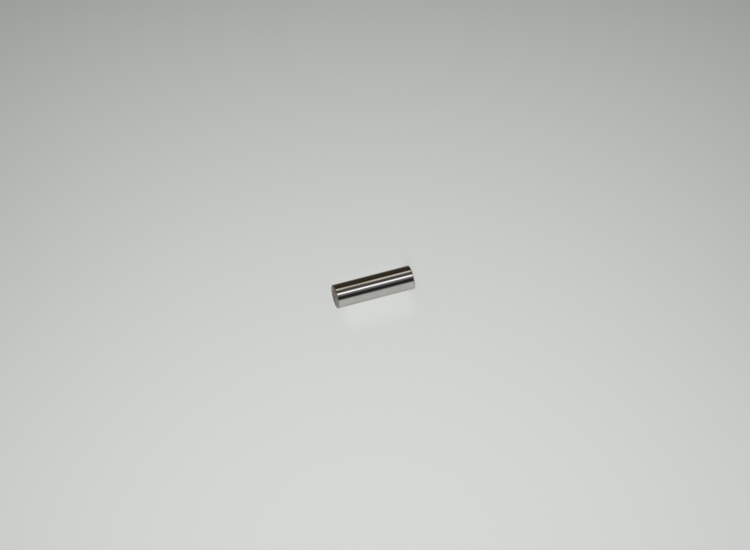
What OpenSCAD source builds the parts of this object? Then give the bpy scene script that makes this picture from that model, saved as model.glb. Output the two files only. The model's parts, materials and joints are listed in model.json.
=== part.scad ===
// Gudgeon pin of a small piston engine: one solid pin of hardened steel, ground to
// diameter, faced square and chamfered at both ends. It stands on one end face, with
// +Z along its axis and the origin at the centre of that face.

/* [Ground cylinder] */
// Diameter that runs in the piston bosses and the connecting rod
pin_d = 4; // [3:0.1:8]
// Length over the two end faces
pin_length = 13.2; // [8:0.1:30]

/* [Ends] */
// Length of each chamfer, measured along the axis
chamfer_length = 0.12; // [0.1:0.02:0.6]
// Depth of each chamfer, measured across the axis
chamfer_depth = 0.12; // [0.1:0.02:0.6]
// Radius that blends each chamfer into the ground cylinder
shoulder_r = 0.06; // [0.02:0.02:0.12]
// Radius that breaks the corner between each chamfer and its end face
rim_r = 0.04; // [0.02:0.02:0.1]

/* [Hidden] */
$fn = 96;

pin_r = pin_d / 2;
half_length = pin_length / 2;

// How far the outline turns at the shoulder, and then at the rim
shoulder_turn = atan2(chamfer_depth, chamfer_length);
rim_turn = 90 - shoulder_turn;

// From each sharp corner to the points where its round meets the straight lines
shoulder_reach = shoulder_r * tan(shoulder_turn / 2);
rim_reach = rim_r * tan(rim_turn / 2);

// The chamfer between its two rounds, drawn from its sharp corner with the cylinder
module chamfer_outline() {
    up_the_chamfer = [-sin(shoulder_turn), cos(shoulder_turn)];
    rim = [-chamfer_depth, chamfer_length];
    polygon([
        [0, -shoulder_r],
        [0, -shoulder_reach],
        shoulder_reach * up_the_chamfer,
        rim - rim_reach * up_the_chamfer,
        rim - [rim_reach, 0],
        rim - [rim_r, 0],
        [-chamfer_depth - rim_r, -shoulder_r]
    ]);
    translate([-shoulder_r, -shoulder_reach])
        circle(r = shoulder_r);
    translate(rim - [rim_reach, rim_r])
        circle(r = rim_r);
}

// One half of the pin's section, from its middle to one end face
module half_section() {
    square([pin_r, half_length - chamfer_length - shoulder_reach]);
    square([pin_r - chamfer_depth - rim_reach, half_length]);
    translate([pin_r, half_length - chamfer_length])
        chamfer_outline();
}

module pin() {
    color("#9c9b98")
        translate([0, 0, half_length])
            rotate_extrude() {
                half_section();
                mirror([0, 1])
                    half_section();
            }
}

pin();
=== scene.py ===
"""A ground steel gudgeon pin, standing on one end, seen as it lies in the photograph.

The pin is one turned and ground solid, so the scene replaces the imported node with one
finely revolved mesh of the same form. The camera is rolled, so that the pin lies in the
picture at the photograph's angle with its upper end towards the lower left.
Lengths are in metres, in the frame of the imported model. Named angles are in degrees.
"""

import json
import math

import bpy
from mathutils import Matrix, Vector


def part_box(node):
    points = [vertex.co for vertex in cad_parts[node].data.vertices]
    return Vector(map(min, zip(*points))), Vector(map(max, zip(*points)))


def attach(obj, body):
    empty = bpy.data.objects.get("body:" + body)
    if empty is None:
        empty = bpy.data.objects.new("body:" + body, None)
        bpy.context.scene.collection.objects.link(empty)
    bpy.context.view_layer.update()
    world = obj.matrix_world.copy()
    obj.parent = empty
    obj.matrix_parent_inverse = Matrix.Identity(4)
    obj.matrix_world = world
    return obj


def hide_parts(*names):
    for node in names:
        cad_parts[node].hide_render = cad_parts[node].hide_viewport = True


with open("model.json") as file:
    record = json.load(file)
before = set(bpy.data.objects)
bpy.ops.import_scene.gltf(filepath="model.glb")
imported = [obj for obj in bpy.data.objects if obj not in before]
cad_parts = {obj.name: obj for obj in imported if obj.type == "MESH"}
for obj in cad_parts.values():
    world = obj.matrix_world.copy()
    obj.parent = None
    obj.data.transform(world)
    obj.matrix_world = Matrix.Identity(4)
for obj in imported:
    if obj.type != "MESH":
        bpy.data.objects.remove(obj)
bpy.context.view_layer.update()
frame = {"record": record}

MM = 0.001

# ---------------------------------------------------------------------------
# Sizes of the pin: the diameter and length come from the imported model
# ---------------------------------------------------------------------------
ground_mount = next(m for m in frame["record"]["mounts"] if m["name"] == "ground_cylinder")
pin_low, pin_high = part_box("pin")
PIN_R_MM = ground_mount["dims"]["r_mm"]
PIN_R = PIN_R_MM * MM
PIN_LENGTH = pin_high.z - pin_low.z
CHAMFER_LENGTH = 0.12 * MM
CHAMFER_DEPTH = 0.12 * MM
# The chamfer's two rounds: one to the cylinder and one to the end face
SHOULDER_R = 0.06 * MM
RIM_R = 0.04 * MM

# ---------------------------------------------------------------------------
# The photograph: where the pin lies in it, in its pixels, and how the pin is turned
# ---------------------------------------------------------------------------
PHOTO_W = 750
PHOTO_H = 550
PIN_X_PX = 373.1
PIN_Y_PX = 287.0
PIN_WIDTH_PX = 24.4
# From the picture's middle to the pin's
PIN_RIGHT_PX = PIN_X_PX - PHOTO_W / 2
PIN_UP_PX = PHOTO_H / 2 - PIN_Y_PX
# The pin's axis rises to the right by this much
AXIS_SLOPE = 14.47
# The visible end face is turned this far towards the camera
END_TURN = 11.3
# The camera's angle over the table, measured across the pin's axis
CAMERA_OVER_TABLE = 42.0

LENS_MM = 105.0
SENSOR_MM = 36.0
FOCAL_PX = LENS_MM / SENSOR_MM * PHOTO_W

# Azimuth of the camera round the standing pin
CAMERA_AZIMUTH = 315.0
# Azimuth at which the photograph's table would be met, in front of the pin
TABLE_AZIMUTH = CAMERA_AZIMUTH - CAMERA_OVER_TABLE


def direction(azimuth, elevation=0.0):
    """Unit vector from the pin towards this azimuth and elevation."""
    a = math.radians(azimuth)
    e = math.radians(elevation)
    return Vector((math.sin(a) * math.cos(e), -math.cos(a) * math.cos(e), math.sin(e)))


def along_and_below(right, up):
    """The picture's right and up, turned to run along the pin and straight below it."""
    slope = math.radians(AXIS_SLOPE)
    along = math.cos(slope) * right + math.sin(slope) * up
    below = math.sin(slope) * right - math.cos(slope) * up
    return along, below


def srgb(red, green, blue):
    """A colour given in picture levels, 0 to 255, as linear light."""
    def linear(level):
        share = level / 255
        return share / 12.92 if share <= 0.04045 else ((share + 0.055) / 1.055) ** 2.4
    return (linear(red), linear(green), linear(blue))


def scaled(values, factor):
    """The parts of a colour, or the ends of a band, times a factor."""
    return tuple(value * factor for value in values)


# ---------------------------------------------------------------------------
# Node helpers
# ---------------------------------------------------------------------------
class Nodes:
    """Adds nodes to one tree and links them. An input is a socket or a constant."""

    def __init__(self, tree):
        self.tree = tree
        tree.nodes.clear()

    def add(self, kind, inputs=None, **settings):
        """A node with these settings. Its inputs are fed by their names or numbers."""
        node = self.tree.nodes.new(kind)
        for name, value in settings.items():
            setattr(node, name, value)
        for name, value in (inputs or {}).items():
            self.feed(node.inputs[name], value)
        return node

    def feed(self, socket, value):
        if isinstance(value, bpy.types.NodeSocket):
            self.tree.links.new(value, socket)
        elif socket.type == "RGBA":
            socket.default_value = (*value, 1.0)
        else:
            socket.default_value = value

    def math(self, operation, *values, clamp=False):
        inputs = dict(enumerate(values))
        return self.add("ShaderNodeMath", inputs, operation=operation, use_clamp=clamp).outputs[0]

    def vector_math(self, operation, *vectors):
        inputs = dict(enumerate(vectors))
        return self.add("ShaderNodeVectorMath", inputs, operation=operation).outputs

    def dot(self, vector, constant):
        return self.vector_math("DOT_PRODUCT", vector, constant)["Value"]

    def length(self, vector):
        return self.vector_math("LENGTH", vector)["Value"]

    def times(self, vector, constant):
        """The vector with each part multiplied by the constant's."""
        return self.vector_math("MULTIPLY", vector, constant)["Vector"]

    def noise(self, vector, scale, detail, roughness=0.5):
        """Noise from 0 to 1, with about half of it on each side of 0.5."""
        inputs = {"Vector": vector, "Scale": scale, "Detail": detail, "Roughness": roughness}
        return self.add("ShaderNodeTexNoise", inputs).outputs["Fac"]

    def noise_along(self, value, scale, detail):
        """Noise from 0 to 1 that changes with one value alone."""
        inputs = {"W": value, "Scale": scale, "Detail": detail}
        return self.add("ShaderNodeTexNoise", inputs, noise_dimensions="1D").outputs["Fac"]

    def bump(self, height, distance, over=None):
        """A normal tilted by the slopes of height, which 1.0 raises by distance."""
        inputs = {"Height": height, "Distance": distance}
        if over is not None:
            inputs["Normal"] = over
        return self.add("ShaderNodeBump", inputs).outputs["Normal"]

    def smooth(self, value, band, low=0.0, high=1.0):
        """Smooth step from low at the band's start to high at its end."""
        start, end = band
        inputs = {"Value": value, "From Min": start, "From Max": end, "To Min": low, "To Max": high}
        return self.add("ShaderNodeMapRange", inputs, interpolation_type="SMOOTHSTEP").outputs["Result"]

    def ramp(self, factor, stops):
        """Colour ramp through (position, (r, g, b)) stops."""
        node = self.add("ShaderNodeValToRGB", {"Fac": factor})
        elements = node.color_ramp.elements
        while len(elements) > 1:
            elements.remove(elements[-1])
        elements[0].position = stops[0][0]
        elements[0].color = (*stops[0][1], 1.0)
        for position, colour in stops[1:]:
            elements.new(position).color = (*colour, 1.0)
        return node.outputs["Color"]

    def mix(self, factor, first, second, blend_type="MIX"):
        # The colours go by number: sockets of other kinds have the same names
        inputs = {0: factor, 6: first, 7: second}
        return self.add("ShaderNodeMix", inputs, data_type="RGBA", blend_type=blend_type).outputs[2]


# ---------------------------------------------------------------------------
# The pin's mesh: the section of one half, mirrored and revolved
# ---------------------------------------------------------------------------
AROUND = 256
SHOULDER_STEPS = 10
RIM_STEPS = 8
FACE_RINGS = 6
BODY_RINGS = 24


class Point:
    """A point of the section.

    Its height is measured from the pin's middle, its slope is the angle of the normal over
    the radius, in radians, and its part is face, edge or body.
    """

    def __init__(self, radius, height, slope, part):
        self.radius = radius
        self.height = height
        self.slope = slope
        self.part = part


def end_section():
    """The points from the upper face's centre to the cylinder."""
    half = PIN_LENGTH / 2
    face_r = PIN_R - CHAMFER_DEPTH
    shoulder_turn = math.atan2(CHAMFER_DEPTH, CHAMFER_LENGTH)
    rim_turn = math.pi / 2 - shoulder_turn
    # From each sharp corner to the points where its round meets the straight lines
    shoulder_reach = SHOULDER_R * math.tan(shoulder_turn / 2)
    rim_reach = RIM_R * math.tan(rim_turn / 2)
    flat_r = face_r - rim_reach
    points = []
    for step in range(FACE_RINGS):
        points.append(Point(flat_r * step / FACE_RINGS, half, math.pi / 2, "face"))
    # The rim's round, from the face to the chamfer
    for step in range(RIM_STEPS + 1):
        slope = math.pi / 2 - rim_turn * step / RIM_STEPS
        radius = flat_r + RIM_R * math.cos(slope)
        height = half - RIM_R + RIM_R * math.sin(slope)
        points.append(Point(radius, height, slope, "edge"))
    # The shoulder's round, from the chamfer to the cylinder
    for step in range(SHOULDER_STEPS + 1):
        slope = shoulder_turn * (1 - step / SHOULDER_STEPS)
        radius = PIN_R - SHOULDER_R + SHOULDER_R * math.cos(slope)
        height = half - CHAMFER_LENGTH - shoulder_reach + SHOULDER_R * math.sin(slope)
        points.append(Point(radius, height, slope, "edge"))
    return points


def full_section():
    """The whole outline, from the upper face's centre to the lower face's centre."""
    upper = end_section()
    shoulder = upper[-1].height
    body = []
    for step in range(1, BODY_RINGS):
        body.append(Point(PIN_R, shoulder * (1 - 2 * step / BODY_RINGS), 0.0, "body"))
    lower = [Point(p.radius, -p.height, -p.slope, p.part) for p in reversed(upper)]
    return upper + body + lower


def revolve(section):
    """Places, normals and rings. A ring lists the places that one point is turned to."""
    places, normals, rings = [], [], []
    for point in section:
        z = PIN_LENGTH / 2 + point.height
        if point.radius == 0.0:
            rings.append([len(places)] * AROUND)
            places.append((0.0, 0.0, z))
            normals.append((0.0, 0.0, math.copysign(1.0, point.slope)))
            continue
        rings.append(range(len(places), len(places) + AROUND))
        outwards = math.cos(point.slope)
        upwards = math.sin(point.slope)
        for step in range(AROUND):
            turn = 2 * math.pi * step / AROUND
            x = math.cos(turn)
            y = math.sin(turn)
            places.append((point.radius * x, point.radius * y, z))
            normals.append((outwards * x, outwards * y, upwards))
    return places, normals, rings


def part_between(upper, lower):
    """The part of the pin that two neighbouring points of the section bound."""
    if "face" in (upper.part, lower.part):
        return "face"
    return "edge" if upper.part == lower.part == "edge" else "body"


def make_pin(materials):
    """One closed mesh, with the exact normals of the section."""
    section = full_section()
    places, normals, rings = revolve(section)
    parts = list(materials)
    faces, slots = [], []
    for index in range(len(section) - 1):
        upper = rings[index]
        lower = rings[index + 1]
        slot = parts.index(part_between(section[index], section[index + 1]))
        for step in range(AROUND):
            after = (step + 1) % AROUND
            corners = [upper[step], lower[step], lower[after], upper[after]]
            # At a face's centre two corners are the same, and a triangle is left
            faces.append(list(dict.fromkeys(corners)))
            slots.append(slot)
    mesh = bpy.data.meshes.new("gudgeon_pin")
    mesh.from_pydata(places, [], faces)
    for part in parts:
        mesh.materials.append(materials[part])
    mesh.polygons.foreach_set("material_index", slots)
    mesh.polygons.foreach_set("use_smooth", [True] * len(faces))
    mesh.update()
    mesh.normals_split_custom_set_from_vertices(normals)
    pin = bpy.data.objects.new("gudgeon_pin", mesh)
    bpy.context.scene.collection.objects.link(pin)
    return pin


# ---------------------------------------------------------------------------
# Materials: the scales of noise are per millimetre
# ---------------------------------------------------------------------------
# Most noise lies in these bands, so each carries one tone or one finish into another
TONE_BAND = (0.35, 0.65)
FINISH_BAND = (0.3, 0.7)

# The cylinder: noise squeezed along the axis makes rings that come and go round the pin
STEEL = (0.58, 0.575, 0.545)
STEEL_COOL = (0.62, 0.62, 0.595)
STEEL_WARM = (0.59, 0.575, 0.54)
STEEL_RING = scaled(STEEL, 0.95)
PATCH_SCALE = 0.45
RING_SCALES = (0.3, 0.3, 15.0)
RING_BAND = (0.42, 0.78)
RING_HEIGHT = 0.0004 * MM
WAVE_SCALES = (0.5, 0.5, 0.25)
WAVE_HEIGHT = 0.006 * MM
BODY_ROUGHNESS = (0.05, 0.075)
# What a ring adds to the roughness
RING_ROUGHNESS = 0.035

# The chamfers
EDGE_STEEL = (0.43, 0.415, 0.375)
EDGE_DARK = scaled(EDGE_STEEL, 0.8)
EDGE_SCALE = 1.6
EDGE_HEIGHT = 0.004 * MM
EDGE_ROUGHNESS = (0.22, 0.34)

# The end faces
END_BROWN = (0.475, 0.39, 0.345)
# Grey-green, partly the face's own tone and partly a painted reflection of the pale table
END_GREEN = (0.41, 0.43, 0.375)
END_MOTTLED = scaled(END_BROWN, 0.86)
END_RINGED = scaled(END_BROWN, 0.7)
# A dark tone on one side of the end faces and on the rim there: partly dirt and partly painted shade
DIRT_AND_SHADE = scaled(END_BROWN, 0.5)
END_ROUGHNESS = (0.36, 0.46)
MOTTLE_SCALE = 1.3
MOTTLE_BAND = (0.45, 0.75)
MOTTLE_HEIGHT = 0.010 * MM
TURNING_SCALE = 9.0
TURNING_BAND = (0.5, 0.75)
TURNING_SHARE = 0.45
TURNING_HEIGHT = 0.006 * MM
# Turning marks draw the reflections out across them by this much
TURNED = 0.8
# A quarter turn of the Principled shader's anisotropy, which lays it across the marks
ACROSS_MARKS = 0.25
# The end faces are grey-green on this side and brown on the other. The grey-green is partly their own
# tone and partly a painted reflection of the pale table
STAIN_AND_REFLECTION_AZIMUTH = CAMERA_AZIMUTH - 90
STAIN_AND_REFLECTION_BAND = (0.25, 0.75)
# They darken on this side, and most at the rim there, whose band is in shares of the radius: partly
# dirt and partly painted shade
DIRT_AND_SHADE_AZIMUTH = CAMERA_AZIMUTH + 150
DIRT_AND_SHADE_BAND = (0.1, 0.9)
DIRT_AND_SHADE_SHARE = 0.6
DIRT_AND_SHADE_MOTTLE = 0.8
RIM_BAND = (0.80, 0.93)
RIM_SHARE = 0.9
RIM_SIDE_BAND = (-0.5, 0.2)


def new_material(name):
    material = bpy.data.materials.new(name)
    material.use_nodes = True
    return material, Nodes(material.node_tree)


def metal(n, colour, roughness, normal, turned=0.0):
    """A bare metal. One that is turned has its marks running round the Z axis."""
    inputs = {"Base Color": colour, "Metallic": 1.0, "Roughness": roughness, "Normal": normal}
    if turned:
        inputs["Anisotropic"] = turned
        inputs["Anisotropic Rotation"] = ACROSS_MARKS
        inputs["Tangent"] = n.add("ShaderNodeTangent", direction_type="RADIAL", axis="Z").outputs[0]
    shader = n.add("ShaderNodeBsdfPrincipled", inputs)
    n.add("ShaderNodeOutputMaterial", {"Surface": shader.outputs[0]})


def in_mm(n):
    """The place on the pin, in millimetres from the centre of its lower face."""
    return n.times(n.add("ShaderNodeTexCoord").outputs["Object"], (1 / MM, 1 / MM, 1 / MM))


def ground_steel():
    """Polished after grinding: fine rings round the pin, under a slight long wave."""
    material, n = new_material("ground_steel")
    place = in_mm(n)
    patches = n.noise(place, PATCH_SCALE, detail=3.0, roughness=0.6)
    rings = n.noise(n.times(place, RING_SCALES), 1.0, detail=3.0, roughness=0.7)
    wave = n.noise(n.times(place, WAVE_SCALES), 1.0, detail=1.0)
    tone = n.mix(n.smooth(patches, TONE_BAND), STEEL_COOL, STEEL_WARM)
    ringed = n.mix(n.smooth(rings, RING_BAND), tone, STEEL_RING)
    rubbed = n.smooth(patches, FINISH_BAND, *BODY_ROUGHNESS)
    roughness = n.math("ADD", rubbed, n.smooth(rings, RING_BAND, high=RING_ROUGHNESS))
    normal = n.bump(rings, RING_HEIGHT, over=n.bump(wave, WAVE_HEIGHT))
    metal(n, ringed, roughness, normal)
    return material


def chamfer_steel():
    """Turned and only wiped over, so duller than the cylinder."""
    material, n = new_material("chamfer_steel")
    patches = n.noise(in_mm(n), EDGE_SCALE, detail=4.0, roughness=0.6)
    tone = n.mix(n.smooth(patches, TONE_BAND), EDGE_STEEL, EDGE_DARK)
    roughness = n.smooth(patches, FINISH_BAND, *EDGE_ROUGHNESS)
    metal(n, tone, roughness, n.bump(patches, EDGE_HEIGHT))
    return material


def stained_and_reflecting(n, place, mottle):
    """The end face's tones: brown on one side and grey-green on the other, which is partly its own tone
    and partly a painted reflection of the pale table, and mottled.
    """
    across = n.math("DIVIDE", n.dot(place, direction(STAIN_AND_REFLECTION_AZIMUTH)), 2 * PIN_R_MM)
    stain_and_reflection = n.smooth(n.math("ADD", across, mottle), STAIN_AND_REFLECTION_BAND)
    tone = n.mix(stain_and_reflection, END_BROWN, END_GREEN)
    return n.mix(n.smooth(mottle, MOTTLE_BAND), tone, END_MOTTLED)


def dirtied_and_shaded(n, tone, place, radius, mottle):
    """The tone darkened on one side of the face and on its rim there, partly by dirt and partly by
    painted shade.
    """
    dirty_and_shaded_side = n.math("DIVIDE", n.dot(place, direction(DIRT_AND_SHADE_AZIMUTH)), PIN_R_MM)
    rim = n.smooth(radius, scaled(RIM_BAND, PIN_R_MM), high=RIM_SHARE)
    dirty_and_shaded_rim = n.math("MULTIPLY", rim, n.smooth(dirty_and_shaded_side, RIM_SIDE_BAND))
    spread = n.math("ADD", dirty_and_shaded_side, n.math("MULTIPLY", mottle, DIRT_AND_SHADE_MOTTLE))
    return n.mix(n.smooth(spread, DIRT_AND_SHADE_BAND, high=DIRT_AND_SHADE_SHARE), n.mix(dirty_and_shaded_rim, tone, DIRT_AND_SHADE), DIRT_AND_SHADE)


def end_steel():
    """Dull end face: faint rings from the facing cut, mottled brown and grey-green."""
    material, n = new_material("end_steel")
    place = in_mm(n)
    radius = n.length(n.times(place, (1.0, 1.0, 0.0)))
    rings = n.noise_along(radius, TURNING_SCALE, detail=2.0)
    mottle = n.noise(place, MOTTLE_SCALE, detail=5.0, roughness=0.62)
    tone = dirtied_and_shaded(n, stained_and_reflecting(n, place, mottle), place, radius, mottle)
    ringed = n.mix(n.smooth(rings, TURNING_BAND, high=TURNING_SHARE), tone, END_RINGED)
    roughness = n.smooth(mottle, FINISH_BAND, *END_ROUGHNESS)
    normal = n.bump(rings, TURNING_HEIGHT, over=n.bump(mottle, MOTTLE_HEIGHT))
    metal(n, ringed, roughness, normal, turned=TURNED)
    return material


# ---------------------------------------------------------------------------
# The room that the polished cylinder mirrors
# ---------------------------------------------------------------------------
TABLE = srgb(212, 213, 212)
FAR_TABLE = (0.50, 0.48, 0.455)
BLACK = (0.028, 0.028, 0.028)
GREY = (0.24, 0.24, 0.25)
LAMP = (2.0, 2.0, 2.1)
WALL = (0.087, 0.081, 0.076)
DOOR = (1.22, 1.17, 1.06)
UMBER = (0.036, 0.023, 0.006)
BROWN = (0.050, 0.041, 0.029)
HAZE = (0.14, 0.125, 0.11)

# Its tones by angle over the photograph's table: 0 is the table's edge in front of the
# pin, 90 is straight over it and 180 is behind it
ROOM = (
    (-180, HAZE), (-142, FAR_TABLE),
    # From -106 to -76 the table is darker: a painted contact shadow along the pin
    (-125, TABLE), (-106, scaled(TABLE, 0.92)), (-88, scaled(TABLE, 0.82)), (-76, scaled(TABLE, 0.86)),
    (-60, TABLE), (-9, TABLE),
    (4.6, BLACK), (31, BLACK),
    (37, GREY), (49.5, GREY),
    (54.6, LAMP), (56.6, LAMP),
    (69, WALL), (90.5, WALL),
    (101, DOOR), (103, DOOR),
    (116, UMBER), (145, BROWN), (170, BROWN),
    (180, HAZE),
)
# The tones that change where the door is in shade
SHADED = {DOOR: (0.49, 0.41, 0.355), LAMP: scaled(LAMP, 1.1), WALL: scaled(WALL, 1.25)}
# How much it is in shade, by the angle at which a mirror ray falls below the level
DOOR_SHADE = ((12.5, 0.5), (12.0, 0.1), (11.45, 0.0), (11.05, 0.9), (10.7, 1.0), (10.5, 0.1))
# Faint level streaks, which draw the tones towards brown by this share at most
STREAK_SCALES = (1.5, 1.5, 22.0)
STREAK_SHARE = 0.055
# The ceiling, on the side towards the picture's top and on the other one. It changes over
# the first band towards that side, and the room changes into it over the second, upwards.
CEILING_BROWN = (0.19, 0.165, 0.14)
CEILING_GREEN = (0.50, 0.52, 0.47)
CEILING_SIDE_BAND = (-0.7, 0.7)
CEILING_RISE_BAND = (0.05, 0.40)


def door_shade(n, height):
    """How much the door is in shade, by the upward part of a ray, which is below zero."""
    drops = [(-math.sin(math.radians(angle)), share) for angle, share in DOOR_SHADE]
    steepest = drops[0][0]
    reach = drops[-1][0] - steepest
    position = n.math("DIVIDE", n.math("SUBTRACT", height, steepest), reach)
    return n.ramp(position, [((drop - steepest) / reach, (share,) * 3) for drop, share in drops])


def mirrored_room(n, ray):
    """What a mirror ray meets: the table and the room round the pin, under the ceiling."""
    forward = n.dot(ray, direction(TABLE_AZIMUTH))
    over_table = n.dot(ray, direction(TABLE_AZIMUTH + 90))
    turn = n.math("ARCTAN2", over_table, forward)
    position = n.math("ADD", n.math("DIVIDE", turn, 2 * math.pi), 0.5)
    height = n.dot(ray, (0.0, 0.0, 1.0))
    stops = [((angle + 180) / 360, tone) for angle, tone in ROOM]
    open_room = n.ramp(position, stops)
    shaded_room = n.ramp(position, [(place, SHADED.get(tone, tone)) for place, tone in stops])
    room = n.mix(door_shade(n, height), open_room, shaded_room)
    streaks = n.noise(n.times(ray, STREAK_SCALES), 1.0, detail=1.0)
    room = n.mix(n.smooth(streaks, TONE_BAND, high=STREAK_SHARE), room, BROWN)
    side = n.smooth(n.dot(ray, direction(CAMERA_AZIMUTH + 90)), CEILING_SIDE_BAND)
    ceiling = n.mix(side, CEILING_GREEN, CEILING_BROWN)
    return n.mix(n.smooth(height, CEILING_RISE_BAND), room, ceiling)


# ---------------------------------------------------------------------------
# The backdrop that the camera sees
# ---------------------------------------------------------------------------
# The table round the pin in the picture, at its lower and its upper edge
BACKDROP_LOW = srgb(214, 216, 213)
BACKDROP_HIGH = srgb(168, 170, 165)
# How it darkens upwards
BACKDROP_POWER = 2.05
# The share that it loses at the left and right edges, at the band's lower and upper height.
# The picture's lower edge is at 0 and its upper one at 1.
SIDE_LOSS = (0.11, 0.17)
SIDE_LOSS_BAND = (0.0, 0.7)
# Light that the polished pin throws on the table below it: how far it is full, and where
# it ends, in the picture's pixels along the pin and across it
GLOW = (0.048, 0.048, 0.048)
GLOW_ALONG_PX = (28, 46)
GLOW_ACROSS_PX = (22, 46)
# Its middle lies this far beyond the pin's, away from the visible end
GLOW_SHIFT_PX = 3
# The table everywhere outside the picture, and the angles from the camera's line of sight
# between which it takes over
BACKDROP = srgb(207, 209, 205)
PICTURE_ENDS = (16, 13)


def table_tone(n, ray, right, up):
    """The table in the picture, with painted shade: it darkens upwards, and by a square towards both
    sides.
    """
    risen = n.math("ADD", n.dot(ray, up * FOCAL_PX / PHOTO_H), 0.5, clamp=True)
    tone = n.mix(n.math("POWER", risen, BACKDROP_POWER), BACKDROP_LOW, BACKDROP_HIGH)
    side = n.dot(ray, right * 2 * FOCAL_PX / PHOTO_W)
    side_loss = n.smooth(risen, SIDE_LOSS_BAND, *SIDE_LOSS)
    loss = n.math("MULTIPLY", n.math("MULTIPLY", side, side), side_loss)
    return n.mix(n.math("MINIMUM", loss, 1.0), tone, (0.0, 0.0, 0.0))


def glow_share(n, ray, right, up):
    """How much of the pin's glow the table gets, from 0 to 1."""
    along, below = along_and_below(right, up)
    pin_along, pin_below = along_and_below(PIN_RIGHT_PX, PIN_UP_PX)
    from_middle = n.math("SUBTRACT", n.dot(ray, along * FOCAL_PX), pin_along + GLOW_SHIFT_PX)
    under_pin = n.math("SUBTRACT", n.dot(ray, below * FOCAL_PX), pin_below)
    lengthways = n.smooth(n.math("ABSOLUTE", from_middle), GLOW_ALONG_PX, low=1.0, high=0.0)
    crossways = n.smooth(under_pin, GLOW_ACROSS_PX, low=1.0, high=0.0)
    # Upwards from the pin's axis it fades out over the pin's width
    upwards = n.smooth(under_pin, (-PIN_WIDTH_PX, 0.0))
    return n.math("MULTIPLY", n.math("MULTIPLY", lengthways, crossways), upwards)


def picture_backdrop(n, ray, camera):
    """The table as the picture shows it, and a plain one beyond the picture's edges."""
    right, up, back = (Vector(row) for row in camera.matrix_world.to_3x3().transposed())
    tone = table_tone(n, ray, right, up)
    lit = n.mix(glow_share(n, ray, right, up), tone, GLOW, blend_type="ADD")
    ends = [math.cos(math.radians(angle)) for angle in PICTURE_ENDS]
    in_picture = n.smooth(n.dot(ray, -back), ends)
    return n.mix(in_picture, BACKDROP, lit)


# ---------------------------------------------------------------------------
# The world, the floor and the sun
# ---------------------------------------------------------------------------
# Even light from all round, on what isn't polished
ROOM_LIGHT = (0.68, 0.68, 0.68)
FLOOR_R = 14 * MM
FLOOR_CORNERS = 64
# Just below the pin's lower end, so that the two never lie in one plane
FLOOR_DROP = 0.01 * MM
# How much the floor hides at its middle, and the radii between which it fades to nothing
FLOOR_SHARE = 0.38
FLOOR_BAND = (1.2 * PIN_R, 0.95 * FLOOR_R)
SUN_ENERGY = 1.3
SUN_WIDTH = 12
SUN_HEIGHT = 50


def make_world(camera):
    """The room for mirror rays, the backdrop for the camera and even light for the rest."""
    world = bpy.data.worlds.new("room")
    bpy.context.scene.world = world
    world.use_nodes = True
    world.cycles.sampling_method = "NONE"
    n = Nodes(world.node_tree)
    ray = n.add("ShaderNodeTexCoord").outputs["Generated"]
    path = n.add("ShaderNodeLightPath")
    seen = n.mix(path.outputs["Is Camera Ray"], ROOM_LIGHT, picture_backdrop(n, ray, camera))
    colour = n.mix(path.outputs["Is Glossy Ray"], seen, mirrored_room(n, ray))
    shader = n.add("ShaderNodeBackground", {"Color": colour})
    n.add("ShaderNodeOutputWorld", {"Surface": shader.outputs[0]})


def pale_floor():
    """Pale where the pin stands, and clear towards the floor's edge."""
    material, n = new_material("pale_floor")
    reach = n.length(n.add("ShaderNodeTexCoord").outputs["Object"])
    share = n.smooth(reach, FLOOR_BAND, low=FLOOR_SHARE, high=0.0)
    pale = n.add("ShaderNodeBsdfDiffuse", {"Color": BACKDROP})
    clear = n.add("ShaderNodeBsdfTransparent")
    blend = n.add("ShaderNodeMixShader", {0: share, 1: clear.outputs[0], 2: pale.outputs[0]})
    n.add("ShaderNodeOutputMaterial", {"Surface": blend.outputs[0]})
    return material


def make_floor():
    """A round floor that fades into the backdrop."""
    corners = []
    for corner in range(FLOOR_CORNERS):
        turn = 2 * math.pi * corner / FLOOR_CORNERS
        corners.append((FLOOR_R * math.cos(turn), FLOOR_R * math.sin(turn), 0.0))
    mesh = bpy.data.meshes.new("floor")
    mesh.from_pydata(corners, [], [list(range(FLOOR_CORNERS))])
    mesh.materials.append(pale_floor())
    floor = bpy.data.objects.new("floor", mesh)
    floor.location.z = -FLOOR_DROP
    floor.visible_glossy = False
    bpy.context.scene.collection.objects.link(floor)


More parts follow.
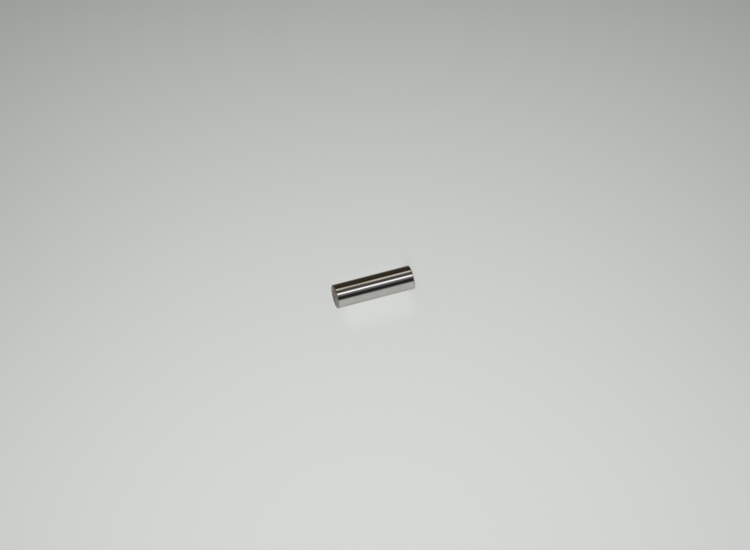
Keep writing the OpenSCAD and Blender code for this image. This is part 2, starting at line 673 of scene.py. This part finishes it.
def make_sun():
    """Soft light from over the camera."""
    data = bpy.data.lights.new("soft_key", "SUN")
    data.energy = SUN_ENERGY
    data.angle = math.radians(SUN_WIDTH)
    sun = bpy.data.objects.new("soft_key", data)
    sun.visible_glossy = False
    sun.rotation_mode = "QUATERNION"
    sun.rotation_quaternion = direction(CAMERA_AZIMUTH, SUN_HEIGHT).to_track_quat("Z", "Y")
    bpy.context.scene.collection.objects.link(sun)


# ---------------------------------------------------------------------------
# Camera
# ---------------------------------------------------------------------------
CLIP_START = 10 * MM
CLIP_END = 10.0


def make_camera():
    """Looks down on the pin by END_TURN, and is rolled to the photograph's slope."""
    back = direction(CAMERA_AZIMUTH, END_TURN)
    sideways = direction(CAMERA_AZIMUTH + 90)
    # The pin's axis as the picture shows it, towards the visible end
    axis = back.cross(sideways).normalized()
    slope = math.radians(AXIS_SLOPE)
    right = -math.sin(slope) * sideways - math.cos(slope) * axis
    up = math.cos(slope) * sideways - math.sin(slope) * axis
    facing = Matrix((right, up, back)).transposed()
    # Turned a little, so that the pin's middle lies where the photograph has it
    sight = Vector((PIN_RIGHT_PX / FOCAL_PX, PIN_UP_PX / FOCAL_PX, -1.0))
    aim = Vector((0.0, 0.0, -1.0)).rotation_difference(sight.normalized()).to_matrix()
    distance = 2 * PIN_R * FOCAL_PX / PIN_WIDTH_PX
    centre = Vector((0.0, 0.0, PIN_LENGTH / 2))
    data = bpy.data.cameras.new("camera")
    data.lens = LENS_MM
    data.sensor_width = SENSOR_MM
    data.clip_start = CLIP_START
    data.clip_end = CLIP_END
    camera = bpy.data.objects.new("camera", data)
    stand = Matrix.Translation(centre + distance * back)
    camera.matrix_world = stand @ (facing @ aim.transposed()).to_4x4()
    bpy.context.scene.collection.objects.link(camera)
    bpy.context.scene.camera = camera
    bpy.context.view_layer.update()
    return camera


make_world(make_camera())
make_floor()
make_sun()

pin = make_pin({"body": ground_steel(), "edge": chamfer_steel(), "face": end_steel()})
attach(pin, "root")
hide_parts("pin")

bpy.context.scene.view_settings.view_transform = "Standard"
